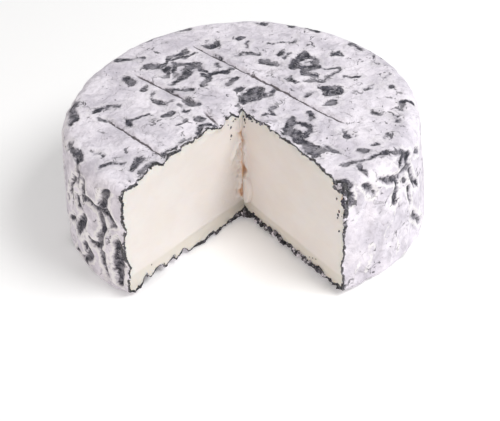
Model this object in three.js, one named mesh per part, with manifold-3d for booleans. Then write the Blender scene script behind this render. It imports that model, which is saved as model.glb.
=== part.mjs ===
// A wheel of soft, ash-coated cheese with one wedge cut out of it.
// It is a single solid: rind and paste grew together, so there is nothing to take apart.
// Frame: millimetres, +Z up, origin on the underside at the wheel's axis, the missing wedge towards -Y.
import * as THREE from "three";
import { mergeVertices } from "three/addons/utils/BufferGeometryUtils.js";
import Module from "manifold-3d";

// Driving dimensions, in millimetres and degrees.
const RADIUS = 65; // mean radius at the upper shoulder
const HEIGHT = 49; // underside to the rim of the top
const DOME = 0.8; // how much the middle of the top stands above its rim
const TOP_FILLET = 5.5;
const FOOT_FILLET = 4;
const SLUMP = 3.6; // the soft wheel has spread this much at its foot
const BELLY = 0.4; // extra swell half-way up the side
const NIP = 0.05; // beside the right cut the foot is drawn in by this share of the radius
const NIP_SPREAD = 20; // degrees round the rim

// The missing wedge: two flat knife cuts that meet on a line a little in front of the axis.
const LEFT_CUT = 226; // direction of the left cut, seen from above
const RIGHT_CUT = 303;
const APEX_TOP = new THREE.Vector2(0.8, -2.8);
const APEX_FOOT = new THREE.Vector2(-1.1, -4.4);

// Straight marks that the wires of a drying rack pressed into the top.
const RACK_DIRECTION = -48.5;
const RACK_OFFSETS = [17, -12.5, -41]; // distance of each mark from the axis, square to its length
const RACK_LENGTHS = [84, 64, 42];
const RACK_SHIFTS = [-1, -10, 5]; // how far along its own line each mark's middle lies
const RACK_DEPTH = 0.8;
const RACK_WIRE_RADIUS = 1.3;

const ROUND_STEPS = 120;
const FILLET_STEPS = 5;
const SIDE_STEPS = 6;
const FLAT_STEPS = 5;

// The uneven outline of a soft wheel: how far the rim in direction a lies from a true circle, as a factor.
const outline = (a) =>
  1 + 0.017 * Math.cos(2 * a) - 0.0085 * Math.sin(2 * a) - 0.013 * Math.sin(3 * a) + 0.004 * Math.cos(4 * a - 1);

// How far the foot is drawn in beside the right cut, as a factor; it fades out towards the top.
function nip(a, z) {
  const away = Math.abs(THREE.MathUtils.euclideanModulo(THREE.MathUtils.radToDeg(a) - RIGHT_CUT + 180, 360) - 180);
  return 1 - NIP * Math.exp(-((away / NIP_SPREAD) ** 2)) * (1 - z / HEIGHT);
}

// The side's radius at height z: spread at the foot, with a slight belly.
function sideRadius(z) {
  const up = z / HEIGHT;
  return RADIUS + SLUMP * (1 - up) + BELLY * Math.sin(Math.PI * up);
}

function filletPoints(centre, radius, startAngle) {
  const quarter = Math.PI / 2;
  return Array.from({ length: FILLET_STEPS + 1 }, (_, i) => {
    const a = startAngle + (quarter * i) / FILLET_STEPS;
    return new THREE.Vector2(centre.x + radius * Math.cos(a), centre.y + radius * Math.sin(a));
  });
}

// Half of the wheel's cross-section, from the middle of the underside round to the middle of the top.
function section() {
  const footCentre = new THREE.Vector2(sideRadius(FOOT_FILLET) - FOOT_FILLET, FOOT_FILLET);
  const topCentre = new THREE.Vector2(sideRadius(HEIGHT - TOP_FILLET) - TOP_FILLET, HEIGHT - TOP_FILLET);
  const points = [];
  for (let i = 0; i < FLAT_STEPS; i++) points.push(new THREE.Vector2((footCentre.x * i) / FLAT_STEPS, 0));
  points.push(...filletPoints(footCentre, FOOT_FILLET, -Math.PI / 2));
  for (let i = 1; i < SIDE_STEPS; i++) {
    const z = FOOT_FILLET + ((HEIGHT - TOP_FILLET - FOOT_FILLET) * i) / SIDE_STEPS;
    points.push(new THREE.Vector2(sideRadius(z), z));
  }
  points.push(...filletPoints(topCentre, TOP_FILLET, 0));
  for (let i = 1; i <= FLAT_STEPS; i++) {
    const inwards = i / FLAT_STEPS;
    const r = topCentre.x * (1 - inwards);
    points.push(new THREE.Vector2(r, HEIGHT + DOME * (1 - (1 - inwards) ** 2)));
  }
  return points;
}

// The whole wheel: the section turned about Z, then pushed out to the uneven outline.
function wholeWheel() {
  const wheel = new THREE.LatheGeometry(section(), ROUND_STEPS).rotateX(Math.PI / 2);
  const place = wheel.attributes.position;
  for (let i = 0; i < place.count; i++) {
    const direction = Math.atan2(place.getY(i), place.getX(i));
    const factor = outline(direction) * nip(direction, place.getZ(i));
    place.setXY(i, place.getX(i) * factor, place.getY(i) * factor);
  }
  return wheel;
}

// The missing wedge as an upright prism, sheared so that its edge runs from APEX_FOOT to APEX_TOP.
function wedge() {
  const reach = 3 * RADIUS;
  const over = 10;
  const at = (degrees) => {
    const a = THREE.MathUtils.degToRad(degrees);
    return new THREE.Vector2(reach * Math.cos(a), reach * Math.sin(a));
  };
  const triangle = new THREE.Shape([new THREE.Vector2(0, 0), at(LEFT_CUT), at(RIGHT_CUT)]);
  const prism = new THREE.ExtrudeGeometry(triangle, { depth: HEIGHT + 2 * over, bevelEnabled: false });
  prism.translate(0, 0, -over);
  const lean = APEX_TOP.clone().sub(APEX_FOOT).divideScalar(HEIGHT);
  const shear = new THREE.Matrix4().set(1, 0, lean.x, APEX_FOOT.x, 0, 1, lean.y, APEX_FOOT.y, 0, 0, 1, 0, 0, 0, 0, 1);
  return prism.applyMatrix4(shear);
}

// One rack mark: the wire that pressed it, lying across the top.
function rackWire(i) {
  const wire = new THREE.CapsuleGeometry(RACK_WIRE_RADIUS, RACK_LENGTHS[i], 3, 10);
  wire.rotateZ(-Math.PI / 2);
  wire.translate(RACK_SHIFTS[i], RACK_OFFSETS[i], 0);
  wire.rotateZ(THREE.MathUtils.degToRad(RACK_DIRECTION));
  return wire.translate(0, 0, HEIGHT + RACK_WIRE_RADIUS - RACK_DEPTH + DOME / 2);
}

const wasm = await Module();
wasm.setup();

function solidFrom(geometry) {
  const bare = geometry.clone();
  bare.deleteAttribute("normal");
  bare.deleteAttribute("uv");
  const merged = mergeVertices(bare, 1e-4);
  return new wasm.Manifold(
    new wasm.Mesh({
      numProp: 3,
      vertProperties: new Float32Array(merged.attributes.position.array),
      triVerts: new Uint32Array(merged.index.array),
    }),
  );
}

function geometryFrom(solid) {
  const mesh = solid.getMesh();
  const geometry = new THREE.BufferGeometry();
  geometry.setAttribute("position", new THREE.BufferAttribute(mesh.vertProperties, 3));
  geometry.setIndex(new THREE.BufferAttribute(mesh.triVerts, 1));
  geometry.computeVertexNormals();
  return geometry;
}

let cheese = solidFrom(wholeWheel()).subtract(solidFrom(wedge()));
for (let i = 0; i < RACK_OFFSETS.length; i++) cheese = cheese.subtract(solidFrom(rackWire(i)));

const bloomyRind = new THREE.MeshStandardMaterial({ color: 0xe4dfe6, roughness: 0.85, metalness: 0 });
const cheeseWheel = new THREE.Mesh(geometryFrom(cheese), bloomyRind);
cheeseWheel.name = "cheese_wheel";

const part = new THREE.Group();
part.name = "cut_cheese_wheel";
part.add(cheeseWheel);

export default part;
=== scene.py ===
# A soft, ash-coated wheel of cheese with one wedge cut out.
# The wheel is made as three pieces: the rind, the paste that shows in the two cuts, and loose rind crumbs.
# Shapes are worked out in millimetres on the wheel's own axis, and stored in metres.
import math
import random

import bmesh
import bpy
import numpy as np
from mathutils import Matrix, Vector, noise


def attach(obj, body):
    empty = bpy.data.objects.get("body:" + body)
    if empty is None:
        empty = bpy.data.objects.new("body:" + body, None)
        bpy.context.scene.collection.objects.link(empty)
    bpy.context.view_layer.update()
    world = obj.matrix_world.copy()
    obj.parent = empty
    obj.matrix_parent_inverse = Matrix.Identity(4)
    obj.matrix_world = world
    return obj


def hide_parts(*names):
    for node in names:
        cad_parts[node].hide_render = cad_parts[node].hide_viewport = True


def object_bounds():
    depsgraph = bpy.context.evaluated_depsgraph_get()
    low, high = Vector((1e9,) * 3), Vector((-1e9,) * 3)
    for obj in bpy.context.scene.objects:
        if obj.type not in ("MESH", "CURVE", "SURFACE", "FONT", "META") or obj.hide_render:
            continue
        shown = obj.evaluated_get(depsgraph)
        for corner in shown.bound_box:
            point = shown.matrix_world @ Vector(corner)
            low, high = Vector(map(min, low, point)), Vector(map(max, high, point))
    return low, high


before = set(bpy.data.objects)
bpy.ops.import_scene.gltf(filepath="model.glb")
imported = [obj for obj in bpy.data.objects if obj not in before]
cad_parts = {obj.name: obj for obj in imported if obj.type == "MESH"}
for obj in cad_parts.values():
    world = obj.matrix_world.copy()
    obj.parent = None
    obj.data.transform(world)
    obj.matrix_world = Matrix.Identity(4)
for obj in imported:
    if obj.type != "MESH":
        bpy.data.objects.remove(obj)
cad_low, cad_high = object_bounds()

MM = 0.001
DOME = 0.8
HEIGHT = cad_high.z / MM - DOME
RADIUS = 65.0
SLUMP = 3.6
BELLY = 0.4
NIP = 0.05
NIP_SPREAD = 20.0
TOP_FILLET = 5.2
CUT_FILLET = 3.0  # the shoulder is tighter beside the cuts
FOOT_FILLET = 4.0
LEFT_CUT = 226.0
RIGHT_CUT = 303.0
CORNER_TOP = np.array([0.8, -2.8])
CORNER_FOOT = np.array([-1.1, -4.4])
RIND = 0.5  # thickness of the line of ash and mould seen in the cut
LEFT_CREASE = 7.4  # height of the crease above which each cut face is plain
RIGHT_CREASE = 8.2
RELIEF_DEPTH = 7  # how deep below the skin its folds still move the cheese
FOLLOW = 6  # how far from a cut the skin still follows that cut's edge
LOWEST = 0.02  # nothing reaches below this height
FLOOR_DROP = 0.2  # how far the table lies below the underside

# ---------------------------------------------------------------------------
# The shape of the soft wheel
# ---------------------------------------------------------------------------


def outline(a):
    """The rim's distance from a true circle in direction a, as a factor."""
    return (
        1
        + 0.017 * np.cos(2 * a)
        - 0.0085 * np.sin(2 * a)
        - 0.013 * np.sin(3 * a)
        + 0.004 * np.cos(4 * a - 1)
    )


def side_radius(a, z):
    """The side's distance from the axis: spread at the foot, and drawn in beside the right cut."""
    up = z / HEIGHT
    away = np.abs(turn_from(a, RIGHT_CUT))
    nip = 1 - NIP * np.exp(-((away / NIP_SPREAD) ** 2)) * (1 - up)
    return (RADIUS + SLUMP * (1 - up) + BELLY * np.sin(np.pi * up)) * outline(a) * nip


def corner_line(z):
    """The line where the two cuts meet, at height z."""
    return CORNER_FOOT + (CORNER_TOP - CORNER_FOOT) * (z / HEIGHT)[:, None]


def wall_distance(direction, z):
    """How far the side is from the corner line, in a direction seen from above."""
    start = corner_line(z)
    ray = np.stack([np.cos(direction), np.sin(direction)], 1)
    reach = np.full(len(z), RADIUS)
    for _ in range(8):
        p = start + ray * reach[:, None]
        reach += side_radius(np.arctan2(p[:, 1], p[:, 0]), z) - np.hypot(p[:, 0], p[:, 1])
    return reach


def turn_from(direction, cut):
    """The angle from a cut to a direction, in degrees between -180 and 180."""
    return (np.degrees(direction) - cut + 180) % 360 - 180


def shoulder(direction):
    """The radius of the top shoulder, seen in a direction from the corner line."""
    away = np.minimum(*(np.abs(turn_from(direction, cut)) for cut in (LEFT_CUT, RIGHT_CUT)))
    return CUT_FILLET + (TOP_FILLET - CUT_FILLET) * ramp(away, 2, 16)


def round_corner(dx, dz, radius):
    """Turns a square corner into a rounded one. dx and dz are the distances in from its two walls."""
    a = np.clip(1 - dx / radius, 0, 1)
    b = np.clip(1 - dz / radius, 0, 1)
    far = np.maximum(np.maximum(a, b), 1e-9)
    angle = np.where(b >= a, np.pi / 4 * a / far, np.pi / 2 - np.pi / 4 * b / far)
    return far * np.sin(angle), far * np.cos(angle), (a > 0) & (b > 0)


def lumps(places, size, seed):
    """A smooth random height between about -1 and 1, with lumps about size across."""
    return np.array([noise.noise(Vector(p)) for p in places / size + seed * 7.31])


def ramp(value, low, high):
    """0 below low, 1 above high, and a soft step between them."""
    t = np.clip((value - low) / (high - low), 0, 1)
    return t * t * (3 - 2 * t)


def hump(value, centre, width):
    return np.exp(-(((value - centre) / width) ** 2))


# ---------------------------------------------------------------------------
# Where the ash shows through the mould, in millimetres. Each stroke is a half width and its points.
# ---------------------------------------------------------------------------

TOP_STROKES = [
    # round the corner of the notch
    (2.8, (2.5, 3), (6.5, 7)), (2.2, (5, 3), (8.5, 3.5)), (0.8, (11, 4), (14, 6.5)),
    (1.7, (0.5, 8.5), (1.5, 10.5)), (1.6, (-5, 13.5), (-1, 17)), (1.4, (-13.5, 14), (-11.5, 19)),
    (0.6, (12, -5), (12.5, -8)), (0.7, (9, -9), (13, -9.5)),
    # the broken patch behind the left cut
    (1.2, (-28, 22), (-27, 28)), (1.8, (-24.5, 23.5), (-22.5, 30)), (2.1, (-20, 22), (-17, 28)),
    (1.2, (-24, 31), (-15.5, 30)), (1.2, (-16, 28), (-11.5, 24)), (1.3, (-25, 17), (-22, 20)),
    (1.4, (-12, 21), (-3, 23.5)), (1.0, (-29, 30), (-25, 36), (-19.5, 40.5)),
    (0.7, (-25, 34), (-16, 38)), (1.5, (-36, 31.5), (-31.5, 31)), (0.8, (-12, 48), (-12, 43)),
    (1.6, (-10, 42.5), (-7.5, 44)), (0.8, (-47, 38.5), (-44, 36.5), (-38, 37)),
    (1.0, (-38.5, 36.5), (-37, 36)), (1.6, (-43, 22.5), (-41.5, 21)), (1.0, (-36, 14), (-35, 16)),
    (0.9, (-32.5, 10.5), (-32, 6)), (1.2, (-32, 6), (-29, 3)), (0.6, (-29, 3), (-24, 4)),
    (1.0, (-55, 1.5), (-51.5, 4.3)), (1.3, (-50, 4), (-46.5, 4)), (1.1, (-27, 13), (-18, 11)),
    (1.6, (-19, 5), (-17.2, 1.5)), (0.9, (-22, 1), (-21, -1), (-19.5, -4)),
    (1.3, (-41, -5), (-40.5, -9)), (0.8, (-40, -5), (-34.5, -4)), (1.0, (-28, -4.3), (-25, -3.8)),
    (0.9, (-16, -7.5), (-15, -9)), (0.5, (-24, -12), (-20, -9)), (0.5, (-52, -3), (-50, -5)),
    # along the left cut and the shoulder beyond it
    (1.1, (-16, -17), (-13.5, -12.5), (-9.5, -12)), (0.8, (-22, -22), (-19, -20.5)),
    (0.9, (-27, -28), (-24, -24)), (1.1, (-37, -40), (-34, -36.5), (-29, -33)),
    (1.7, (-39, -35), (-37, -31.5)), (0.9, (-50, -33.3), (-44, -32.2)),
    (1.5, (-63.3, 9), (-62.5, -4)), (1.0, (-66, 15), (-63, 9)),
    (0.9, (-63, -16), (-60, -22), (-58, -27)), (0.4, (-55, -23), (-50, -27)),
    # behind the notch, on the far side of the long rack mark
    (0.8, (0, 33.5), (2, 35), (8.5, 34)), (1.6, (10.5, 28), (15, 25.5)),
    (2.5, (22.5, 24), (27, 31)), (1.8, (27, 31), (31, 25.5)), (1.3, (21.5, 22), (30, 22.5)),
    (0.7, (19, 30), (21, 32.5)), (1.0, (17, 33), (18, 34.5)), (1.2, (26, 20), (31, 21.5)),
    (1.7, (26.5, 18), (29, 15.5)), (0.7, (31, 21.5), (39.5, 20), (40.3, 18)),
    (0.6, (40, 17.5), (31, 11)), (0.9, (26, 12), (33, 11)), (2.2, (32, 6.5), (38, 5)),
    (2.6, (34, 2.5), (37, 3)), (1.5, (33, -3.7), (36, -3)), (0.8, (25.5, 1), (28, 3)),
    (1.0, (20, 14), (22, 12)), (0.9, (48, 4), (51, 5)), (0.5, (56, 12), (59, 13)),
    (0.9, (57, 6), (58, 4)), (0.7, (42, 13), (47, 13)), (0.8, (60, -5), (60.3, -10)),
    (0.9, (60.5, -6.5), (65, -5)), (0.9, (49, -11), (52, -12)), (0.7, (56, -14), (57.5, -18)),
    (1.3, (25.7, -9.5), (26.2, -12.7)), (0.7, (22, 42), (24, 45)), (0.4, (12.5, 41), (22, 42)),
    (0.8, (5, 44), (4, 40.5)), (1.0, (0.5, 46.5), (3, 47.5)), (1.2, (45.5, 38), (49, 33)),
    (0.9, (38, 30), (41, 30.5)), (1.3, (-24, 57), (-19, 58)), (1.0, (10, 57.5), (13, 57.5)),
    (1.1, (22.5, 58), (23, 55)), (1.1, (31, 52), (33, 49)), (0.7, (-7, 35.5), (-5.5, 33)),
    (0.7, (-8, 30), (-7, 27)), (0.5, (54, 27), (53.5, 21)),
    # along the right cut and the shoulder beyond it
    (1.7, (18, -13.5), (18, -20)), (2.5, (18.5, -21), (21.5, -28)), (2.5, (21.5, -28), (26, -35)),
    (1.8, (25, -31.5), (28.5, -34)), (1.1, (20.5, -15), (26, -17)),
    (1.4, (25.7, -17.5), (23.3, -24)), (0.9, (31.5, -32), (33.5, -35)),
    (0.9, (37, -21.5), (39, -26)), (1.1, (42, -35), (43, -34.5)), (0.7, (46, -30), (48.5, -30)),
    (0.6, (52, -28), (54, -25)),
    (0.8, (36, -43), (40, -41), (45, -40), (48, -38), (54, -35), (57, -33)),
    (0.9, (41, -44), (42, -48)), (1.6, (49, -45), (53, -47)), (1.4, (32, -51), (35, -53)),
]
TOP_CLEARINGS = [
    (1.6, (-22, 26.5), (-21, 27)), (1.6, (21.3, -18), (22, -19.5)), (0.8, (25, 25.5), (28, 28.5)),
    (1.3, (31, 18), (35, 17.5)),
]

# On the side the points are a direction in degrees and a height.
SIDE_STROKES = [
    (1.5, (222, 47), (221, 43), (219.5, 38)), (1.2, (219.5, 38), (222, 36.5), (224, 32)),
    (1.1, (219.5, 37), (216, 35), (212, 37), (210, 36)), (0.6, (210, 36), (210.5, 44)),
    (1.3, (218.5, 33), (219.5, 28), (218, 24), (217.5, 21)), (1.2, (217, 19), (212, 18)),
    (1.3, (218, 16), (217.5, 5)), (1.8, (225.5, 24), (225.5, 18)), (1.5, (224.5, 17), (223.5, 5)),
    (1.5, (205.5, 33), (205, 31), (207, 29.5), (209.5, 28)),
    (1.4, (209.5, 28), (208.5, 24), (206, 20), (204, 16)), (1.1, (207.5, 45), (206, 41)),
    (0.9, (204, 41), (202, 38)), (0.9, (203, 22), (198, 18)), (1.1, (209, 14), (208, 12)),
    (1.3, (211, 12), (210, 10), (208, 6), (205, 3)), (0.8, (198, 27), (196, 25)),
    (1.0, (201, 35), (199, 31)), (1.0, (202, 6), (200, 3)), (2.0, (169, 43), (164, 35)),
    (1.3, (172, 31), (167, 25), (165, 20)), (1.8, (165, 10), (167, 7)), (1.2, (173, 13), (176, 11)),
    (1.5, (192, 47), (186, 47)), (0.9, (188, 34), (186, 27)), (1.0, (194, 13), (190, 6)),
    (0.9, (181, 22), (179, 15)), (1.2, (302.5, 47), (303.5, 41)),
    (0.8, (309, 47), (311, 43), (313, 40)), (0.9, (315, 48), (316, 45)),
    (1.2, (317, 44), (320, 41), (323, 40)), (1.1, (323.5, 40), (324, 37), (322, 33), (322, 31)),
    (0.7, (321, 48), (325, 47), (329, 47)), (1.2, (327, 44), (330, 44.5), (331.5, 43)),
    (1.3, (331.5, 43), (330, 40), (326, 39)), (0.8, (328.5, 36), (329, 33)),
    (1.0, (332, 37), (334, 32), (336, 28), (339, 25)), (0.9, (338, 40), (342, 38)),
    (0.6, (331, 30), (331, 22)), (1.3, (333, 16), (336, 12)), (0.9, (337, 10), (341, 6)),
    (0.7, (341, 47), (347, 48), (353, 47.5)), (1.1, (6, 40), (9, 36), (12, 34)),
    (1.0, (6, 31), (11, 30)), (0.9, (7, 28), (12, 23)), (0.9, (3, 2.5), (10, 2)),
    (0.7, (345, 1.5), (348, 1.5)), (0.8, (3, 19), (8, 13)),
]

# The wires of the drying rack left three straight marks in the top; the middle one is in two stretches.
# Each entry is where a stretch starts and ends.
RACK_MARKS = [
    ((-17.5, 45), (38, -18)), ((-40, 26), (-16.5, 1)), ((-13.5, -4), (-8, -13)),
    ((-50, -3.5), (-27.5, -31.5)),
]


def stroke_field(x, y, strokes):
    """How far a point is inside the nearest stroke's edge; negative outside it."""
    best = np.full(len(x), -9.0)
    for half_width, *points in strokes:
        for (ax, ay), (bx, by) in zip(points, points[1:]):
            length = (bx - ax) ** 2 + (by - ay) ** 2
            along = np.clip(((x - ax) * (bx - ax) + (y - ay) * (by - ay)) / length, 0, 1)
            away = np.hypot(x - ax - along * (bx - ax), y - ay - along * (by - ay))
            best = np.maximum(best, half_width - away)
    return best


def side_points(strokes):
    """Side strokes with their directions turned into distances round the rim."""
    turned = []
    for half_width, *points in strokes:
        onward = ((math.radians(d if d > 90 else d + 360) * RADIUS, z) for d, z in points)
        turned.append((half_width, *onward))
    return turned


def ash_field(p, up):
    """How far inside a patch of bare ash each place is. up is the height part of the normal there."""
    # the patches' outlines are torn, not smooth
    seeds = (61, 62, 63)
    torn = np.column_stack([lumps(p, 5.5, seed) * 2.0 + lumps(p, 2.2, seed + 3) * 0.9 for seed in seeds])
    torn *= (0.45 + 0.55 * ramp(np.abs(up), 0.3, 0.8))[:, None]
    x, y, z = (p + torn).T
    round_way = np.arctan2(y, x)
    round_way = np.where(round_way < math.radians(90), round_way + 2 * math.pi, round_way) * RADIUS
    top = stroke_field(x, y, TOP_STROKES)
    top = np.minimum(top, -stroke_field(x, y, TOP_CLEARINGS))
    side = stroke_field(round_way, z, side_points(SIDE_STROKES))
    # round the back, the ash shows as wavering upright veins and torn patches
    degrees = round_way / RADIUS * 180 / math.pi
    behind = ramp(degrees, 374, 384) + ramp(-degrees, -160, -150)
    bent = p + np.column_stack([lumps(p, 12, seed) for seed in (64, 65, 66)]) * [6, 6, 0]
    veins = 1.6 - np.abs(lumps(bent * [1, 1, 0.32], 9, 3)) * 13 - ramp(lumps(p, 22, 5), -0.2, 0.5) * 2.2
    side = np.maximum(side, veins - 3 * (1 - np.clip(behind, 0, 1)))
    patches = (lumps(p, 6.5, 11) - 0.34) * 11
    under = np.maximum(patches, veins - 1)
    on_top, beneath = ramp(up, 0.25, 0.6), ramp(-up, 0.25, 0.6)
    return top * on_top + under * beneath + side * (1 - on_top - beneath)


def beside_mark(p, mark):
    """How far each place is along a rack mark and to one side of it, and the mark's length."""
    (ax, ay), (bx, by) = mark
    length = math.hypot(bx - ax, by - ay)
    ux, uy = (bx - ax) / length, (by - ay) / length
    along = (p[:, 0] - ax) * ux + (p[:, 1] - ay) * uy
    across = (p[:, 0] - ax) * uy - (p[:, 1] - ay) * ux
    return along, across, length


def rack_field(p):
    """Depth of the rack marks, and the low ridge pushed up beside each."""
    groove = np.zeros(len(p))
    ridge = np.zeros(len(p))
    for mark in RACK_MARKS:
        along, across, length = beside_mark(p, mark)
        across = across + 0.5 * lumps(p, 9, 21)
        ends = ramp(along, -2, 3) * ramp(-along, -length - 2, -length + 3)
        groove = np.maximum(groove, hump(across, 0, 0.75) * ends)
        ridge = np.maximum(ridge, hump(across, -1.9, 1.1) * ends)
    return groove, ridge


def rack_lines(p):
    """How far each place is to one side of the nearest rack mark, and where the marks are."""
    nearest = np.full(len(p), 9.0)
    here = np.zeros(len(p))
    for mark in RACK_MARKS:
        along, across, length = beside_mark(p, mark)
        inside = (along > -3) & (along < length + 3) & (np.abs(across) < 5)
        nearest = np.where(inside, across, nearest)
        here = np.maximum(here, inside * ramp(along, -1, 4) * ramp(-along, -length - 1, -length + 4))
    return nearest, here


# ---------------------------------------------------------------------------
# The ragged edges of the two cuts. Each entry is a distance out from the corner, and how much the edge
# rises there.
# ---------------------------------------------------------------------------

LEFT_BRIM = [
    (0, -1.0), (1.5, -1.6), (3, -3.1), (4.2, -2.2), (5, -1.0), (7, -0.3), (9, 0.0), (10.2, -1.4),
    (11.4, -2.2), (13.8, -1.8), (16.2, -0.6), (17.8, 1.0), (20.2, 1.0), (22.6, 0.3), (25, 0.9),
    (26.6, -0.4), (28.6, 0.5), (30.6, 1.0), (34, 0.7), (37, 1.1), (39.4, 0.5), (40.6, -0.4),
    (42.6, -1.2), (43.8, 0.9), (46.6, 1.3), (49, 0.8), (52.2, 0.4), (54.6, -0.4), (57.4, -1.3),
    (61, -0.4), (66, 0.3),
]
RIGHT_BRIM = [
    (0, -0.6), (4.6, -1.3), (6, -0.7), (7.4, -1.4), (10.2, -1.1), (12.2, -0.2), (14.6, 0.8),
    (18, 0.4), (21, 0.8), (25.8, 0.2), (29, 0.9), (32, 0.5), (37, -0.4), (40, 0.5), (45, 0.3),
    (50, -0.1), (53, -0.4), (57, -1.3), (60, -0.8),
]
LEFT_FOOT = [
    (0, 1.0), (5.4, 0.9), (7.4, 0.2), (10, 0.0), (16.6, 0.0), (18.2, 1.7), (20, 1.2), (21.2, 0.0),
    (29.6, 0.0), (31.4, 0.7), (33.4, 2.7), (35.4, 4.1), (36.6, 3.0), (37.5, 1.6), (39.3, 1.6),
    (40.2, 3.8), (41.4, 4.5), (42.6, 3.3), (43.9, 1.2), (45, 1.6), (46.6, 4.2), (48.2, 4.7),
    (50.2, 3.8), (53, 2.4), (54.8, 3.8), (56.4, 5.8), (57.3, 4.0), (58.6, 2.2), (60.5, 1.2),
    (63.4, 1.2), (65, 2.2),
]
RIGHT_FOOT = [
    (0, 1.2), (3, 0.4), (6, 1.4), (8, 0.3), (11, 0.7), (13.5, 1.5), (15.5, 0.9), (17, -0.4),
    (19, 0.8), (21.5, 1.4), (24, 0.3), (27, 0.8), (29.5, 1.9), (31, 0.4), (33, 0.2), (35.5, 1.9),
    (38, 1.0), (41, 0.8), (44, 1.8), (46.5, 2.4), (50, 1.6), (54, 1.0), (58, 1.8), (62, 0.8),
]
# Where the side lies back from the cuts' outer edges: a height, how far, and a half width.
LEFT_DENTS = [(30, 2.0, 3.2), (13, 3.6, 4.2), (4, 1.5, 3), (45, 0.6, 3)]
RIGHT_DENTS = [(38, 1.0, 2.5), (28, 1.2, 3), (14, 1.5, 3), (6, 0.8, 2)]


def rise(profile, reach):
    at, lift = zip(*profile)
    return np.interp(reach, at, lift)


def sum_of_humps(value, humps):
    return sum((height * hump(value, at, width) for at, height, width in humps), 0 * value)


def behind_cut(direction, reach, cut):
    """The distance of a point inside the wheel from one of the cuts."""
    turned = np.abs(turn_from(direction, cut))
    return np.where(turned < 90, reach * np.sin(np.radians(np.minimum(turned, 90))), reach)


def relief(p, up, direction, reach):
    """How far the skin stands proud of its plain shape, the ash field, and how high the ruffles lift."""
    z = p[:, 2]
    ash = ash_field(p, up)
    groove, ridge = rack_field(p)
    on_top, beneath = ramp(up, 0.3, 0.8), ramp(-up, 0.3, 0.8)
    side = 1 - on_top - beneath
    broad = 0.55 * lumps(p, 24, 1)
    folds = 0.6 * (0.4 - np.abs(lumps(p * [1, 1, 0.5], 8, 2))) + 0.2 * lumps(p, 3.2, 4)
    skin = broad + folds
    skin -= on_top * (0.28 * ramp(ash, -0.7, 0.7) + 0.8 * groove * (up > 0.5) - 0.35 * ridge)
    skin -= side * 1.3 * ramp(ash, -1.2, 0.9)
    skin += side * (0.9 * (0.35 - np.abs(lumps(p * [1, 1, 0.3], 6.5, 6))))
    # a soft dent beside the right cut, and the foot tucked under beside the left one
    turned = turn_from(direction, RIGHT_CUT)
    beside = turn_from(direction, LEFT_CUT)
    skin -= (1 - on_top) * 2.0 * hump(beside, -14, 11) * ramp(-z, -15, -1)
    skin -= side * 1.3 * hump(turned - 0.5 * (z - 32), 7, 4) * hump(z, 33, 9)
    # the soft foot lifts into ruffles where the knife dragged through it, and the top edge is bitten
    left, right = behind_cut(direction, reach, LEFT_CUT), behind_cut(direction, reach, RIGHT_CUT)
    at_left, at_right = np.exp(-((left / 5) ** 2)), np.exp(-((right / 5) ** 2)) * (right < left)
    at_left = at_left * (left <= right)
    lift = at_left * rise(LEFT_FOOT, reach) + at_right * rise(RIGHT_FOOT, reach)
    lift += (at_left + at_right) * 0.7 * np.abs(lumps(p, 2.2, 8))
    edge = np.exp(-((np.minimum(left, right) / 2.2) ** 2))
    brim = np.where(left <= right, rise(LEFT_BRIM, reach), rise(RIGHT_BRIM, reach))
    skin += on_top * edge * (0.65 * brim - 0.7 * np.abs(lumps(p * [1, 1, 0], 1.9, 13)))
    dent = at_left * sum_of_humps(z, LEFT_DENTS) + at_right * sum_of_humps(z, RIGHT_DENTS)
    flat = 0.25 * np.abs(lumps(p, 5, 9))
    ruffle = beneath * at_left * rise(LEFT_FOOT, reach)
    return skin * (1 - beneath) - beneath * (flat + lift) - side * 0.75 * dent, ash, ruffle


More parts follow.
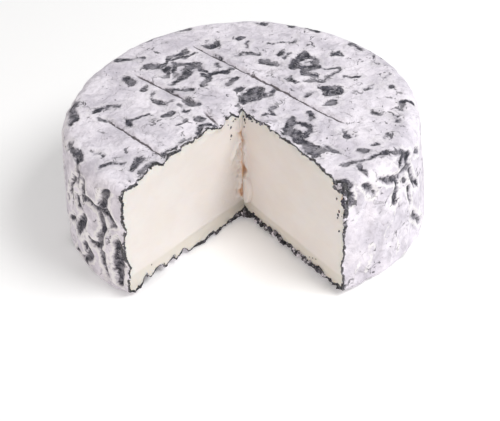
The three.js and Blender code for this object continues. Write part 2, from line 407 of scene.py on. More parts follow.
def soft_place(direction, across, height):
    """Moves points of a plain block onto the soft wheel.

    direction is seen from the corner line, across is the distance out from it as a share of the way to the
    wall with its last millimetre drawn out, and height is in millimetres. Returns the places, their depths
    below the skin, the outward directions there, the ash field and the reach.
    """
    z = height
    wall = wall_distance(direction, z)
    last = 1 - 1 / COLUMNS
    x = np.minimum(across, last) / last * (wall - RIND) + np.maximum(across - last, 0) * COLUMNS * RIND
    fillet = shoulder(direction)
    top_a, top_b, at_top = round_corner(wall - x, HEIGHT - z, fillet)
    foot_a, foot_b, at_foot = round_corner(wall - x, z, FOOT_FILLET)
    px = np.where(at_top, wall - fillet + fillet * top_a, x)
    pz = np.where(at_top, HEIGHT - fillet + fillet * top_b, z)
    px = np.where(at_foot, wall - FOOT_FILLET + FOOT_FILLET * foot_a, px)
    pz = np.where(at_foot, FOOT_FILLET - FOOT_FILLET * foot_b, pz)
    gaps = np.stack([wall - x, HEIGHT - z, z])
    nearest = gaps.argmin(0)
    depth = gaps.min(0)
    out = np.choose(nearest, [1.0, 0.0, 0.0])
    up = np.choose(nearest, [0.0, 1.0, -1.0])
    corners = ((at_top, top_a, top_b, fillet, 1), (at_foot, foot_a, foot_b, FOOT_FILLET, -1))
    for at, a, b, radius, sign in corners:
        size = np.maximum(np.hypot(a, b), 1e-9)
        out = np.where(at, a / size, out)
        up = np.where(at, sign * b / size, up)
        depth = np.where(at, radius * (1 - size), depth)
    ray = np.stack([np.cos(direction), np.sin(direction)], 1)
    base = corner_line(pz)
    place = np.column_stack([base + ray * px[:, None], pz])
    outward = np.column_stack([ray * out[:, None], up])
    surface = place + outward * depth[:, None]
    proud, ash, ruffle = relief(surface, up, direction, px)
    dome = DOME * np.clip(1 - (np.hypot(place[:, 0], place[:, 1]) / 62) ** 2, 0, 1)
    dome = dome * ramp(pz, HEIGHT - 12, HEIGHT)
    near = np.clip(1 - depth / RELIEF_DEPTH, 0, 1) ** 1.5
    place = place + outward * (proud * near)[:, None]
    place[:, :2] -= ray * (0.5 * ruffle * near)[:, None]  # the ruffles curl inwards
    place[:, 2] = np.maximum(place[:, 2] + dome, LOWEST)
    return place, depth, outward, ash, px


def edge_wander(side, reach, z, depth):
    """How far the edge of a cut wavers forward and back, just under the skin."""
    along = np.column_stack([reach, z, side * 90])
    waver = np.where(side < 0, 0.9, 0.6) * lumps(along, 4.2, 14) + 0.9 * lumps(along, 1.9, 15)
    brim = np.where(side < 0, 0.55 * rise(LEFT_BRIM, reach), 0.35 * rise(RIGHT_BRIM, reach))
    waver = waver * ramp(reach, 1, 6) - brim * ramp(z, HEIGHT - 6, HEIGHT - 2)
    toe = 2.3 * hump(reach, 0, 5) * ramp(-z, -4.5, -1.5)
    return waver * np.clip(1 - depth / 4, 0, 1) + toe


def crease_height(side, reach):
    """The height of the crease along the foot of a cut face. side is -1 on the left and 1 on the right."""
    return np.where(side < 0, LEFT_CREASE + 0.04 * reach, RIGHT_CREASE + 0.01 * reach)


def knife_drag(side, reach, z):
    """How far the foot of a cut face, below its crease, lies back from the plain cut."""
    fade = np.where(side < 0, 1 - 0.75 * ramp(reach, 25, 50), 1 - 0.3 * ramp(reach, 30, 50))
    below = np.clip(crease_height(side, reach) - z, 0, 9)
    return fade * (0.04 * below + 0.4 * ramp(below, 0, 1.0))


def cut_looks(side, reach):
    """The directions in which the two cut faces look, turning softly round the corner between them."""
    left, right = math.radians(LEFT_CUT), math.radians(RIGHT_CUT)
    from_left = np.array([-math.sin(left), math.cos(left)])
    from_right = np.array([math.sin(right), -math.cos(right)])
    turn = ramp(side * reach, -8, 8)[:, None]
    look = from_left * (1 - turn) + from_right * turn
    face = np.where((side < 0)[:, None], from_left, from_right)
    return look / np.sum(look * face, 1)[:, None]


# ---------------------------------------------------------------------------
# Making the pieces
# ---------------------------------------------------------------------------

COLUMNS = 78
ROWS = 56
SLICES = 14
TURNS = 25  # in each slice


def finished(bm, name, material):
    """Makes an object of a bmesh and gives it its finish."""
    mesh = bpy.data.meshes.new(name)
    bm.to_mesh(mesh)
    bm.free()
    piece = bpy.data.objects.new(name, mesh)
    bpy.context.scene.collection.objects.link(piece)
    mesh.materials.append(material)
    mesh.shade_smooth()
    return piece


def points_of(piece):
    flat = np.empty(len(piece.data.vertices) * 3, np.float32)
    piece.data.vertices.foreach_get("co", flat)
    return flat.reshape(-1, 3).astype(float)


def move_points(piece, places):
    """Puts the vertices at places, given in millimetres."""
    piece.data.vertices.foreach_set("co", (places * MM).astype(np.float32).ravel())
    piece.data.update()


def keep(piece, name, values):
    """Stores one number at each vertex, for the finish to read."""
    layer = piece.data.attributes.new(name, "FLOAT", "POINT")
    layer.data.foreach_set("value", np.asarray(values, np.float32))


def turned_block():
    """A plain block turned round the corner line from cut to cut, one unit out and one unit high."""
    bm = bmesh.new()
    bmesh.ops.create_grid(bm, x_segments=COLUMNS, y_segments=ROWS, size=0.5)
    bmesh.ops.translate(bm, verts=bm.verts, vec=(0.5, 0.5, 0))
    bmesh.ops.rotate(bm, verts=bm.verts, matrix=Matrix.Rotation(math.pi / 2, 3, "X"))
    bmesh.ops.rotate(bm, verts=bm.verts, matrix=Matrix.Rotation(math.radians(RIGHT_CUT - 360), 3, "Z"))
    section = set(bm.faces)
    sweep = math.radians(360 + LEFT_CUT - RIGHT_CUT)
    # one slice of the skin is turned from the section's rim, and the other slices are copies of it
    rim = [edge for edge in bm.edges if edge.is_boundary]
    bmesh.ops.spin(bm, geom=rim, axis=(0, 0, 1), cent=(0, 0, 0), angle=sweep / SLICES, steps=TURNS)
    skin = [face for face in bm.faces if face not in section]
    edges = {edge for face in skin for edge in face.edges}
    corners = {corner for face in skin for corner in face.verts}
    end = bmesh.ops.duplicate(bm, geom=list(section))["geom"]
    end = [v for v in end if isinstance(v, bmesh.types.BMVert)]
    bmesh.ops.rotate(bm, verts=end, matrix=Matrix.Rotation(sweep, 3, "Z"))
    rest = sweep * (SLICES - 1) / SLICES
    geom = [*corners, *edges, *skin]
    turn = {"axis": (0, 0, 1), "cent": (0, 0, 0), "angle": rest, "steps": SLICES - 1}
    bmesh.ops.spin(bm, geom=geom, use_duplicate=True, **turn)
    bmesh.ops.remove_doubles(bm, verts=bm.verts, dist=5e-5)
    bmesh.ops.recalc_face_normals(bm, faces=bm.faces)
    return bm


def row_height(share):
    """Rows are a rind's thickness deep at the top and the foot, and even between."""
    return np.interp(share * ROWS, [0, 1, ROWS - 1, ROWS], [0, RIND, HEIGHT - RIND, HEIGHT])


def make_rind(material):
    rind = finished(turned_block(), "rind", material)
    block = points_of(rind)
    across = np.clip(np.hypot(block[:, 0], block[:, 1]), 0, 1)
    direction = np.arctan2(block[:, 1], block[:, 0])
    middle = math.radians((LEFT_CUT + RIGHT_CUT) / 2)
    direction = np.where(across < 1e-4, middle, direction)
    height = row_height(np.clip(block[:, 2], 0, 1))
    place, depth, outward, ash, reach = soft_place(direction, across, height)
    degrees = np.degrees(direction) % 360
    on_left, on_right = np.abs(degrees - LEFT_CUT) < 0.01, np.abs(degrees - RIGHT_CUT) < 0.01
    on_line = across < 1e-4
    # the skin follows the edges of the two cuts where they waver or lie back
    in_cut = on_left | on_right | on_line
    total, weight = np.zeros((len(reach), 2)), np.zeros(len(reach))
    for cut, number, on_other in ((LEFT_CUT, -1.0, on_right), (RIGHT_CUT, 1.0, on_left)):
        side = np.full(len(reach), number)
        behind = behind_cut(direction, reach, cut)
        follow = np.where(on_other & ~on_line, 0, np.clip(1 - behind / FOLLOW, 0, 1))
        shift = edge_wander(side, reach, place[:, 2], np.where(in_cut, depth, 0))
        shift = shift - knife_drag(side, reach, place[:, 2])
        shift += (0.1 + 0.3 * lumps(place, 2.2, 31)) * np.clip(1 - behind, 0, 1) * ramp(reach, 0, 3)
        total += cut_looks(side, reach) * (shift * follow)[:, None]
        weight += follow
    place[:, :2] += total / np.maximum(weight, 1)[:, None]
    # inside the edge, the rind's own cut face lies behind the paste
    behind_paste = 1.2 * ramp(depth, RIND * 1.05, RIND * 2.6)
    looks = cut_looks(np.where(on_left, -1.0, 1.0), reach)
    place[in_cut, :2] -= (looks * behind_paste[:, None])[in_cut]
    move_points(rind, place)
    keep(rind, "ash", ash)
    keep(rind, "edge_depth", np.where(in_cut, depth, 0))
    across_mark, here = rack_lines(place)
    behind_left = behind_cut(direction, reach, LEFT_CUT)
    behind_right = behind_cut(direction, reach, RIGHT_CUT)
    z = place[:, 2]
    right_brim = 0.05 + 1.3 * ramp(reach, 54, 58) * ramp(z, 28, 42) + 0.5 * ramp(reach, 58, 61)
    edge_ash = np.maximum(0.35 - behind_left, right_brim - behind_right)
    keep(rind, "edge_ash", np.where(in_cut, 0.9, np.maximum(edge_ash, -3)))
    keep(rind, "rack_across", across_mark)
    keep(rind, "rack_here", here * (outward[:, 2] > 0.5))
    keep(rind, "sideways", 1 - np.abs(outward[:, 2]))
    rind.data.set_sharp_from_angle(angle=math.radians(50))
    return rind


# The paste's sheet is finer near the corner, where the knife tore it.
SHEET_COLUMNS = 110
SHEET_ROWS = 84
SHEET_THICKNESS = 1.7


def folded_sheet():
    """A plain flat sheet, from -1 at the left cut's rind to 1 at the right cut's, with its back at -1."""
    bm = bmesh.new()
    bmesh.ops.create_grid(bm, x_segments=2 * SHEET_COLUMNS, y_segments=SHEET_ROWS, size=1)
    bmesh.ops.scale(bm, verts=bm.verts, vec=(1, 0.5, 1))
    bmesh.ops.translate(bm, verts=bm.verts, vec=(0, 0.5, 0))
    back = bmesh.ops.extrude_face_region(bm, geom=bm.faces[:])["geom"]
    bmesh.ops.translate(bm, verts=[v for v in back if isinstance(v, bmesh.types.BMVert)], vec=(0, 0, -1))
    bmesh.ops.recalc_face_normals(bm, faces=bm.faces)
    return bm


def torn_corner(s, z):
    """The rough seam where the two cuts meet: how far it stands forward, and how much orange-brown it gets,
    partly a real stain and partly painted shade in its crevice, over the inner corner and beside its flap.

    s is the distance out from the corner, negative on the left cut. The seam wanders from side to side, with
    a ridge on its left, a thin sliver on its right, a flap at its foot and a lip of paste near the top.
    """
    places = np.column_stack([s, z, 0 * s])
    wander = -0.2 + 0.9 * hump(z, 36, 4) + 2.0 * hump(z, 22.8, 3.0) - 0.8 * hump(z, 13, 3)
    wander += 1.3 * lumps(places * [0, 1, 0], 2.9, 47) + 0.7 * lumps(places * [0, 1, 0], 1.3, 48)
    rough = lumps(places * [1, 0.7, 1], 1.8, 41)
    tall = ramp(z, 9, 12) * ramp(-z, -44, -39)
    ridge = 0.8 * hump(s, wander - 2.0, 1.5) * (0.8 + 1.6 * rough) * tall
    sliver = 0.7 * hump(s, wander + 1.9, 0.6) * (0.7 + 0.8 * rough) * tall * ramp(z, 16, 22)
    gap = np.maximum(0.5 + 0.25 * lumps(places * [0, 1, 0], 2.6, 42), 0.25)
    crevice = 0.3 * hump(s, wander, gap) * tall * (0.6 + 1.3 * lumps(places * [0, 1, 0], 2.5, 43))
    wide = 6.2 * np.sqrt(np.clip(1 - ((z - 13.8) / 7.4) ** 2, 0, 1))
    flap = 1.5 * ramp(s, 0.7, 1.7) * ramp(wide - s, 0, 0.7) * ramp(wide, 0, 1)
    slope = s + (41 - z) * 0.62
    lip = 1.3 * ramp(slope, -1.1, 0) * ramp(-slope, -2.6, 0) * ramp(-s, 0.6, 1.4) * ramp(s, -7.5, -5.5)
    scratches = 0.22 * lumps(np.column_stack([s + z * 0.35, z * 0.12, 0 * s]), 0.9, 44)
    scratches = scratches * hump(s, 4.5, 3.5) * hump(z, 24, 9)
    shreds = 1.0 * lumps(np.column_stack([s * 0.5, z, 0 * s]), 1.3, 45) * hump(s, -2.4, 2.4) * tall
    ball = 1.0 * hump(np.hypot(s + 0.4, z - 9.6), 0, 1.0)
    fillet = 0.9 * hump(s, 0, 2.4) + 0.9 * hump(s, 0, 0.9) + 0.9 * hump(s, 0.2, 0.9) * hump(z, 17, 5)
    fillet = fillet * ramp(z, 7, 11)
    # an orange-brown tint along the seam, partly a real stain and partly painted shade in its crevices
    spots = 0.62 + 0.5 * hump(z, 23.4, 2.4) + 0.6 * hump(z, 13.2, 2.2)
    spots = spots + 0.35 * hump(z, 36, 3.2) + 0.2 * hump(z, 19.5, 1.5)
    broad = 1.25 + 0.9 * hump(z, 23, 2.5) + 0.8 * hump(z, 13.2, 2)
    broad = broad + 0.4 * lumps(places * [0, 1, 0], 2.2, 46)
    stain_and_shade = np.clip(hump(s, wander - 0.5, broad) * tall * spots * (0.9 + 0.8 * rough), 0, 1)
    # painted shade: a faint darkening over the inner corner, and a darker line just beside the flap's right
    # edge
    corner_shade = 0.06 * hump(s, -1.0, 4.5) * ramp(z, 8, 16) * ramp(-z, -46, -34)
    corner_shade = np.maximum(corner_shade, 0.22 * hump(s, wide + 0.2, 0.5) * ramp(wide, 0.5, 3))
    plug = 1.0 * hump(np.hypot(s - 1.9, z - 20.8), 0, 1.3)
    forward = fillet + plug + ridge + sliver + flap + lip + ball + scratches + shreds - crevice
    # painted shade: an orange-brown line down the bottom of the seam's crevice
    crevice_shade = 0.3 * hump(s, 0.1, 0.7) * tall * (0.8 + 0.6 * rough)
    return forward, np.maximum(np.maximum(stain_and_shade, crevice_shade), corner_shade)


def make_paste(material):
    paste = finished(folded_sheet(), "paste", material)
    block = points_of(paste)
    t = np.clip(np.abs(block[:, 0]), 0, 1)
    share = t * (0.35 + 0.65 * t)
    side = np.where(block[:, 0] < 0, -1.0, 1.0)
    direction = np.where(side < 0, math.radians(LEFT_CUT), math.radians(RIGHT_CUT))
    height = np.clip(block[:, 1], 0, 1) * HEIGHT
    place, depth, outward, _, reach = soft_place(direction, share, height)
    # the paste stops just under the rind
    place -= outward * (0.6 * RIND * np.clip(1 - depth / 5, 0, 1))[:, None]
    z = place[:, 2]
    signed = side * reach
    look = cut_looks(side, reach)
    torn, stain_and_shade = torn_corner(signed, z)
    smear = 0.22 * lumps(np.column_stack([reach / 26, z / 7, side * 3]), 1, 51) + 0.05 * lumps(
        np.column_stack([reach / 9, z / 1.6, side * 3]), 1, 52
    )
    inner = np.clip(depth / 3, 0, 1) * ramp(reach, 0, 6)
    drag = edge_wander(side, reach, z, depth) - knife_drag(side, reach, z)
    back = block[:, 2] < -0.5
    forward = np.where(back, -SHEET_THICKNESS, torn * np.clip(depth / 2.5, 0, 1) + smear * inner) + drag
    place[:, :2] += look * forward[:, None]
    move_points(paste, place)
    ash_line = np.where(side < 0, 0.62, 0.46) + ramp(-z, -6, -2) * np.where(side < 0, 0.35, 1.35)
    crust = ramp(lumps(np.column_stack([reach, 0 * z, 3 * side]), 3.4, 53), -0.05, 0.4)
    ash_line += 1.5 * crust * ramp(-z, -6, -2) * (side > 0)
    at_rind = 1.3 * (side > 0) * hump(reach, 60, 3) * ramp(z, 42, 47)
    ash_line += 1.7 * hump(reach, 0, 6) * ramp(-z, -7, -3) + at_rind
    stain_and_shade = np.maximum(stain_and_shade, hump(signed, 61.3, 0.8) * hump(z, 43, 1.3))
    keep(paste, "below_skin", depth)
    keep(paste, "past_ash", depth - ash_line)
    keep(paste, "stain_and_shade", stain_and_shade * ~back)
    # the band under the crease: riper paste, and also darkened as painted shade where the face turns down
    keep(paste, "foot_band_and_shade", ramp(crease_height(side, reach) - z, -0.5, 1.0))
    paste.data.set_sharp_from_angle(angle=math.radians(60))
    return paste


# Runs of loose crumbs along the cuts: side, first and last reach, lowest and highest place, how many,
# and the smallest and largest size.
CRUMB_RUNS = [
    (1, 0, 9, 0.2, 2.4, 26, 0.35, 0.9), (1, 9, 48, 0.0, 2.2, 70, 0.3, 1.0),
    (1, 48, 63, 0.0, 2.0, 18, 0.3, 0.8), (-1, 0, 8, 0.2, 2.0, 20, 0.35, 0.85),
    (-1, 8, 30, 0.0, 1.0, 16, 0.25, 0.55), (-1, 30, 62, 0.0, 0.8, 10, 0.2, 0.4),
    (1, 6, 52, 0.6, 2.8, 30, 0.6, 1.35), (-1, 32, 60, 0.4, 1.6, 12, 0.3, 0.7),
    (1, 3.5, 7.5, 47.0, 48.6, 12, 0.3, 0.7), (1, 9.5, 13, 47.8, 48.8, 9, 0.3, 0.6),
    (1, 13, 56, 48.2, 49, 24, 0.2, 0.45), (1, 56, 62, 46.4, 48.8, 34, 0.4, 1.0),
    (1, 63, 66, 40, 48, 34, 0.35, 1.0), (1, 63, 66, 26, 40, 26, 0.25, 0.7),
    (-1, 0, 66, 48.2, 49, 46, 0.2, 0.5), (-1, 66, 70, 6, 47, 22, 0.2, 0.45),
]
# Specks of ash dragged into the paste: side, reach, height, size and how long they are.
SPECKS = [
    (-1, 5.0, 45.8, 0.32, 1.2), (-1, 6.2, 43.6, 0.42, 1.5), (-1, 7.8, 45.4, 0.26, 1.4),
    (-1, 6.2, 40.2, 0.36, 1.6), (-1, 6.6, 38.9, 0.2, 1), (-1, 4.2, 47.0, 0.3, 1.2),
    (1, 1.8, 46.5, 0.34, 1.3), (1, 2.3, 45.0, 0.4, 1.6), (1, 2.0, 42.1, 0.28, 1.2),
    (1, 2.6, 43.8, 0.24, 1), (1, 57.2, 41.3, 0.3, 1.8), (1, 58.8, 36.6, 0.3, 2.2),
    (1, 58.2, 34.8, 0.34, 2.0), (1, 57.8, 33.4, 0.26, 1.4), (1, 59.4, 28.2, 0.36, 1.2),
    (1, 60.4, 35.6, 0.2, 1), (-1, 51, 8.2, 0.24, 1.2), (1, 43.5, 5.6, 0.24, 1),
    (1, 45.6, 6.6, 0.22, 1.2), (1, 41.8, 4.9, 0.2, 1),
]


def on_cut(side, reach, height):
    """Places on the two cut faces, and the directions in which those look."""
    direction = np.where(side < 0, math.radians(LEFT_CUT), math.radians(RIGHT_CUT))
    share = np.clip(reach / wall_distance(direction, height), 0, 1)
    place, depth, _, _, reach = soft_place(direction, share, height)
    look = cut_looks(side, reach)
    shift = edge_wander(side, reach, place[:, 2], depth) - knife_drag(side, reach, place[:, 2])
    shift += torn_corner(side * reach, place[:, 2])[0] * np.clip(depth / 2.5, 0, 1)
    place[:, :2] += look * shift[:, None]
    return place, look


def make_crumbs(material):
    """Crumbs of rind and specks of ash that the knife left along the cuts."""
    chance = random.Random(5)
    wanted = []
    for side, first, last, low, high, number, small, large in CRUMB_RUNS:
        for _ in range(number):
            size = small + (large - small) * chance.random() ** 2
            reach, height = chance.uniform(first, last), chance.uniform(low, high)
            wanted.append((side, reach, height, size, 1.0, chance.uniform(-0.3, 0.7)))
    wanted += [(side, reach, height, 1.1 * size, long, 0.0) for side, reach, height, size, long in SPECKS]
    side, reach, height, size, long, forward = np.array(wanted).T
    places, looks = on_cut(side, reach, height)
    bm = bmesh.new()
    ash = bm.verts.layers.float.new("ash")
    for i, place in enumerate(places):
        crumb = bmesh.ops.create_icosphere(bm, subdivisions=2, radius=size[i])["verts"]
        tone = 3.0 if forward[i] == 0 or chance.random() < 0.72 else -4.0
        seed = chance.uniform(0, 90)
        for v in crumb:
            v.co *= 1 + 0.5 * noise.noise(v.co * 1.6 / size[i] + Vector((seed, 0, 0)))
            v[ash] = tone
        bmesh.ops.scale(bm, verts=crumb, vec=(1, 0.8, long[i]))
        lean = Matrix.Rotation(chance.uniform(-0.5, 0.5), 3, "Y")
        spin = Matrix.Rotation(chance.uniform(0, 6), 3, "Z")
        bmesh.ops.rotate(bm, verts=crumb, matrix=lean @ spin)
        centre = Vector((*(place[:2] + looks[i] * forward[i] * size[i]), max(place[2], 1.45 * size[i])))
        bmesh.ops.translate(bm, verts=crumb, vec=centre)
    bmesh.ops.scale(bm, verts=bm.verts, vec=(MM, MM, MM))
    return finished(bm, "rind_crumbs", material)


# ---------------------------------------------------------------------------
# Finishes
# ---------------------------------------------------------------------------


class Finish:
    """A material, with short ways to add and join its nodes. Sizes are in millimetres."""

    def __init__(self, name):
        self.material = bpy.data.materials.new(name)
        self.material.use_nodes = True
        self.tree = self.material.node_tree
        self.shader = self.tree.nodes["Principled BSDF"]
        self.places = self.tree.nodes.new("ShaderNodeTexCoord").outputs["Object"]

    def put(self, socket, value):
        if isinstance(value, bpy.types.NodeSocket):
            self.tree.links.new(value, socket)
        else:
            socket.default_value = value

    def read(self, name):
        node = self.tree.nodes.new("ShaderNodeAttribute")
        node.attribute_name = name
        return node.outputs["Fac"]

    def reckon(self, how, a, b=0.0):
        node = self.tree.nodes.new("ShaderNodeMath")
        node.operation = how
        self.put(node.inputs[0], a)
        self.put(node.inputs[1], b)
        return node.outputs[0]

    def plus(self, a, b):
        return self.reckon("ADD", a, b)

    def minus(self, a, b):
        return self.reckon("SUBTRACT", a, b)

    def times(self, a, b):
        return self.reckon("MULTIPLY", a, b)

    def larger(self, a, b):
        return self.reckon("MAXIMUM", a, b)

    def unsigned(self, a):
        return self.reckon("ABSOLUTE", a)

    def grain(self, size, detail=3.0, roughness=0.55, stretch=None, twist=0.0):
        node = self.tree.nodes.new("ShaderNodeTexNoise")
        node.inputs["Scale"].default_value = 1000 / size
        node.inputs["Detail"].default_value = detail
        node.inputs["Roughness"].default_value = roughness
        node.inputs["Distortion"].default_value = twist
        self.put(node.inputs["Vector"], self.stretched(stretch) if stretch else self.places)
        return node.outputs["Fac"]

    def stretched(self, stretch):
        node = self.tree.nodes.new("ShaderNodeMapping")
        node.inputs["Scale"].default_value = stretch
        self.tree.links.new(self.places, node.inputs["Vector"])
        return node.outputs["Vector"]

    def step(self, value, low, high):
        node = self.tree.nodes.new("ShaderNodeMapRange")
        node.interpolation_type = "SMOOTHSTEP"
        self.put(node.inputs["Value"], value)
        node.inputs["From Min"].default_value = low
        node.inputs["From Max"].default_value = high
        return node.outputs["Result"]

    def blend(self, share, a, b):
        node = self.tree.nodes.new("ShaderNodeMix")
        node.data_type = "RGBA"
        self.put(node.inputs["Factor"], share)
        self.put(node.inputs["A"], (*a, 1) if isinstance(a, tuple) else a)
        self.put(node.inputs["B"], (*b, 1) if isinstance(b, tuple) else b)
        return node.outputs["Result"]

    def raise_by(self, height, distance, strength=1.0, over=None):
        node = self.tree.nodes.new("ShaderNodeBump")
        node.inputs["Distance"].default_value = distance * MM
        node.inputs["Strength"].default_value = strength
        self.put(node.inputs["Height"], height)
        if over is not None:
            self.tree.links.new(over, node.inputs["Normal"])
        return node.outputs["Normal"]


def rind_finish():
    """White mould with a faint lilac cast and painted shade in the hollows of its wrinkles, torn open over
    charcoal-grey ash.
    """
    f = Finish("bloomy_ash_rind")
    ash, edge_depth, sideways = f.read("ash"), f.read("edge_depth"), f.read("sideways")
    wrinkles = f.grain(5.0, 5, 0.62, twist=0.6)
    ragged = f.minus(f.grain(2.6, 5, 0.62, twist=0.7), 0.5)
    wavy = f.minus(f.grain(8, 2), 0.5)
    where = f.plus(ash, f.plus(f.times(ragged, 4.0), f.times(wavy, 2.2)))
    threads = f.unsigned(f.minus(f.grain(6, 4, 0.6, twist=1.4), 0.5))
    threads = f.minus(1.0, f.step(threads, 0.004, 0.030))
    bare = f.step(where, -0.35, 0.40)
    bare = f.times(bare, f.minus(1.0, f.times(threads, 0.45)))
    bare = f.times(bare, f.plus(0.62, f.times(f.step(f.grain(5, 3, 0.6), 0.36, 0.56), 0.38)))
    # small torn flecks and thin cracks scattered over the mould
    flecks = f.step(f.grain(3.2, 4, 0.6, twist=1.1), 0.60, 0.67)
    flecks = f.times(flecks, f.step(f.grain(15, 2), 0.42, 0.56))
    wisps = f.unsigned(f.minus(f.grain(11, 5, 0.55, twist=0.5), 0.5))
    wisps = f.times(f.minus(1.0, f.step(wisps, 0.004, 0.026)), f.step(f.grain(7.8, 2), 0.53, 0.66))
    smudge = f.times(f.step(f.grain(4.2, 5, 0.66, twist=0.8), 0.50, 0.70), 0.45)
    mould = f.blend(f.step(f.grain(13, 4, 0.6), 0.34, 0.66), (0.67, 0.63, 0.70), (0.905, 0.858, 0.925))
    mould = f.blend(smudge, mould, (0.42, 0.40, 0.45))
    # painted shade: grey in the hollows of the same wrinkles that the bump below raises
    mould = f.blend(f.times(f.step(f.minus(1.0, wrinkles), 0.50, 0.68), 0.40), mould, (0.44, 0.415, 0.46))
    mould = f.blend(f.times(f.step(f.grain(1.2, 3, 0.7), 0.52, 0.74), 0.30), mould, (0.42, 0.40, 0.44))
    mould = f.blend(f.times(f.step(where, -1.2, 0.1), 0.36), mould, (0.34, 0.33, 0.365))
    pale = f.minus(f.step(where, -2.2, -1.4), f.step(where, -1.0, -0.3))
    pale = f.times(pale, f.plus(0.2, f.times(sideways, 0.55)))
    mould = f.blend(pale, mould, (0.93, 0.905, 0.90))
    mould = f.blend(f.times(wisps, 0.42), mould, (0.14, 0.125, 0.14))
    ash_tone = f.step(f.grain(2.0, 4, 0.68), 0.36, 0.78)
    ash_tone = f.blend(ash_tone, (0.025, 0.025, 0.034), (0.125, 0.120, 0.155))
    dark = f.larger(bare, f.times(flecks, 0.8))
    colour = f.blend(dark, mould, ash_tone)
    # the wires left a thin brown-black line at the bottom of each mark
    wobble = f.times(f.minus(f.grain(5, 3), 0.5), 1.3)
    off_line = f.unsigned(f.plus(f.read("rack_across"), wobble))
    wire = f.minus(1.0, f.step(f.plus(off_line, f.times(ragged, 1.2)), 0.16, 0.46))
    wire = f.times(f.times(wire, f.read("rack_here")), f.step(f.grain(6, 2), 0.28, 0.44))
    colour = f.blend(f.times(wire, 0.88), colour, (0.065, 0.050, 0.054))
    line = f.step(f.plus(edge_depth, f.times(ragged, 0.35)), 0.10, 0.26)
    dragged = f.step(f.plus(f.read("edge_ash"), f.times(ragged, 4.2)), -0.1, 0.3)
    line = f.larger(line, f.times(dragged, 0.92))
    soot = f.blend(f.step(f.grain(1.1, 3, 0.6), 0.42, 0.72), (0.020, 0.020, 0.024), (0.15, 0.145, 0.15))
    colour = f.blend(line, colour, soot)
    f.put(f.shader.inputs["Base Color"], colour)
    f.put(f.shader.inputs["Roughness"], f.minus(0.94, f.times(dark, 0.20)))
    f.shader.inputs["Specular IOR Level"].default_value = 0.22
    f.shader.inputs["Sheen Weight"].default_value = 0.05
    f.shader.inputs["Sheen Roughness"].default_value = 0.6
    thick = f.minus(1.0, f.larger(dark, wire))
    normal = f.raise_by(thick, 0.45, 0.9)
    normal = f.raise_by(wrinkles, 2.2, 0.7, normal)
    normal = f.raise_by(f.grain(0.9, 3, 0.65), 0.16, 0.6, normal)
    f.put(f.shader.inputs["Normal"], normal)
    return f.material


def paste_finish():
    """Moist cream-white paste, greyer and clearer just above the foot with that band also darkened as
    painted shade, orange-brown along the torn seam partly as stain and partly as painted shade, with a line
    of ash under the rind.
    """
    f = Finish("cream_white_paste")
    below, stain_and_shade, band = f.read("below_skin"), f.read("stain_and_shade"), f.read("foot_band_and_shade")
    soft = f.grain(16, 3, stretch=(1, 1, 1.6))
    cream = f.blend(f.step(soft, 0.35, 0.68), (0.797, 0.728, 0.690), (0.816, 0.756, 0.726))
    ripe = f.minus(1.0, f.step(below, 0.6, 5.0))
    cream = f.blend(f.times(ripe, 0.65), cream, (0.755, 0.735, 0.685))
    # the band above the foot: greyer, clearer paste, darker as painted shade where the face turns down under
    # its crease
    cream = f.blend(f.times(band, 0.8), cream, (0.70, 0.650, 0.580))
    # orange-brown along the torn seam and a spot at the right cut's rim: partly real stain, partly painted
    # shade in the seam's crevices
    cream = f.blend(f.times(f.step(stain_and_shade, -0.05, 1.0), 0.9), cream, (0.62, 0.34, 0.17))
    crumbly = f.times(f.minus(f.grain(1.7, 4, 0.7), 0.5), 2.6)
    near = f.minus(1.0, f.step(f.plus(f.read("past_ash"), crumbly), -0.12, 0.16))
    soot = f.blend(f.step(f.grain(1.0, 3, 0.6), 0.4, 0.75), (0.022, 0.022, 0.025), (0.10, 0.098, 0.105))
    cream = f.blend(near, cream, soot)
    f.put(f.shader.inputs["Base Color"], cream)
    f.shader.inputs["Roughness"].default_value = 0.42
    f.shader.inputs["Specular IOR Level"].default_value = 0.35
    f.shader.inputs["Subsurface Weight"].default_value = 0.4
    f.shader.inputs["Subsurface Radius"].default_value = (1.0, 0.7, 0.45)
    f.shader.inputs["Subsurface Scale"].default_value = 4 * MM
    normal = f.raise_by(f.grain(7, 3, stretch=(1, 1, 2.2)), 0.5, 0.5)
    normal = f.raise_by(f.grain(1.1, 2, 0.6), 0.05, 0.5, normal)
    f.put(f.shader.inputs["Normal"], normal)
    return f.material


# ---------------------------------------------------------------------------
# Floor, light and camera
# ---------------------------------------------------------------------------


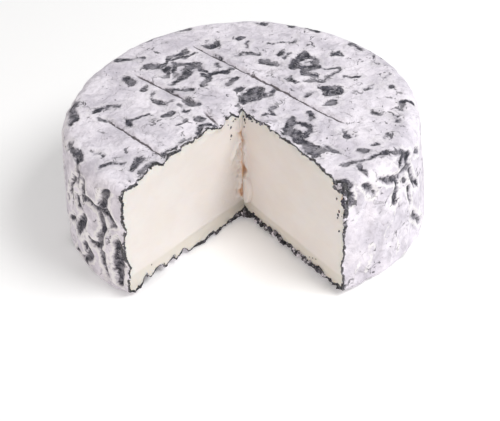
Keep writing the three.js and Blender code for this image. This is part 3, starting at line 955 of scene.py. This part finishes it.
def make_floor():
    bm = bmesh.new()
    bmesh.ops.create_grid(bm, x_segments=1, y_segments=1, size=2)
    bmesh.ops.translate(bm, verts=bm.verts, vec=(0, 0, -FLOOR_DROP * MM))
    f = Finish("white_table")
    f.shader.inputs["Base Color"].default_value = (0.97, 0.97, 0.97, 1)
    f.shader.inputs["Roughness"].default_value = 0.8
    f.shader.inputs["Emission Color"].default_value = (1, 1, 1, 1)
    f.shader.inputs["Emission Strength"].default_value = 0.12
    floor = finished(bm, "floor", f.material)


def make_light(name, place, aim, size, power, colour=(1, 1, 1)):
    data = bpy.data.lights.new(name, "AREA")
    data.size = size
    data.energy = power
    data.color = colour
    light = bpy.data.objects.new(name, data)
    bpy.context.scene.collection.objects.link(light)
    light.location = place
    light.rotation_euler = (Vector(aim) - Vector(place)).to_track_quat("-Z", "Y").to_euler()


def light_the_scene():
    world = bpy.data.worlds.new("soft_room")
    world.use_nodes = True
    world.node_tree.nodes["Background"].inputs["Color"].default_value = (1, 1, 1, 1)
    world.node_tree.nodes["Background"].inputs["Strength"].default_value = 0.5
    bpy.context.scene.world = world
    make_light("key", (0.50, -0.25, 0.72), (0, 0, 0.02), 0.4, 5.2)
    make_light("fill", (-0.55, -0.80, 0.35), (0, 0, 0.02), 0.5, 1.45, (1.0, 0.83, 0.69))
    bpy.context.scene.view_settings.view_transform = "Standard"


def make_camera():
    """Looks down at the notch from the front."""
    elevation, roll, distance = math.radians(38.6), math.radians(-3.96), 8 * RADIUS * MM
    ahead = Vector((0, math.cos(elevation), -math.sin(elevation)))
    level = Vector((1, 0, 0))
    above = level.cross(ahead)
    right = level * math.cos(roll) + above * math.sin(roll)
    up = right.cross(ahead)
    target = Vector((0.020 * RADIUS * MM, 0, -0.032 * RADIUS * MM))
    data = bpy.data.cameras.new("camera")
    data.sensor_width = 36
    data.lens = 93.6
    camera = bpy.data.objects.new("camera", data)
    bpy.context.scene.collection.objects.link(camera)
    turn = Matrix((right, up, -ahead)).transposed().to_4x4()
    camera.matrix_world = Matrix.Translation(target - ahead * distance) @ turn
    bpy.context.scene.camera = camera


def part_of_wheel(piece):
    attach(piece, "root")
    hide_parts("cheese_wheel")


make_floor()
light_the_scene()
make_camera()
ash_rind = rind_finish()
part_of_wheel(make_rind(ash_rind))
part_of_wheel(make_crumbs(ash_rind))
part_of_wheel(make_paste(paste_finish()))
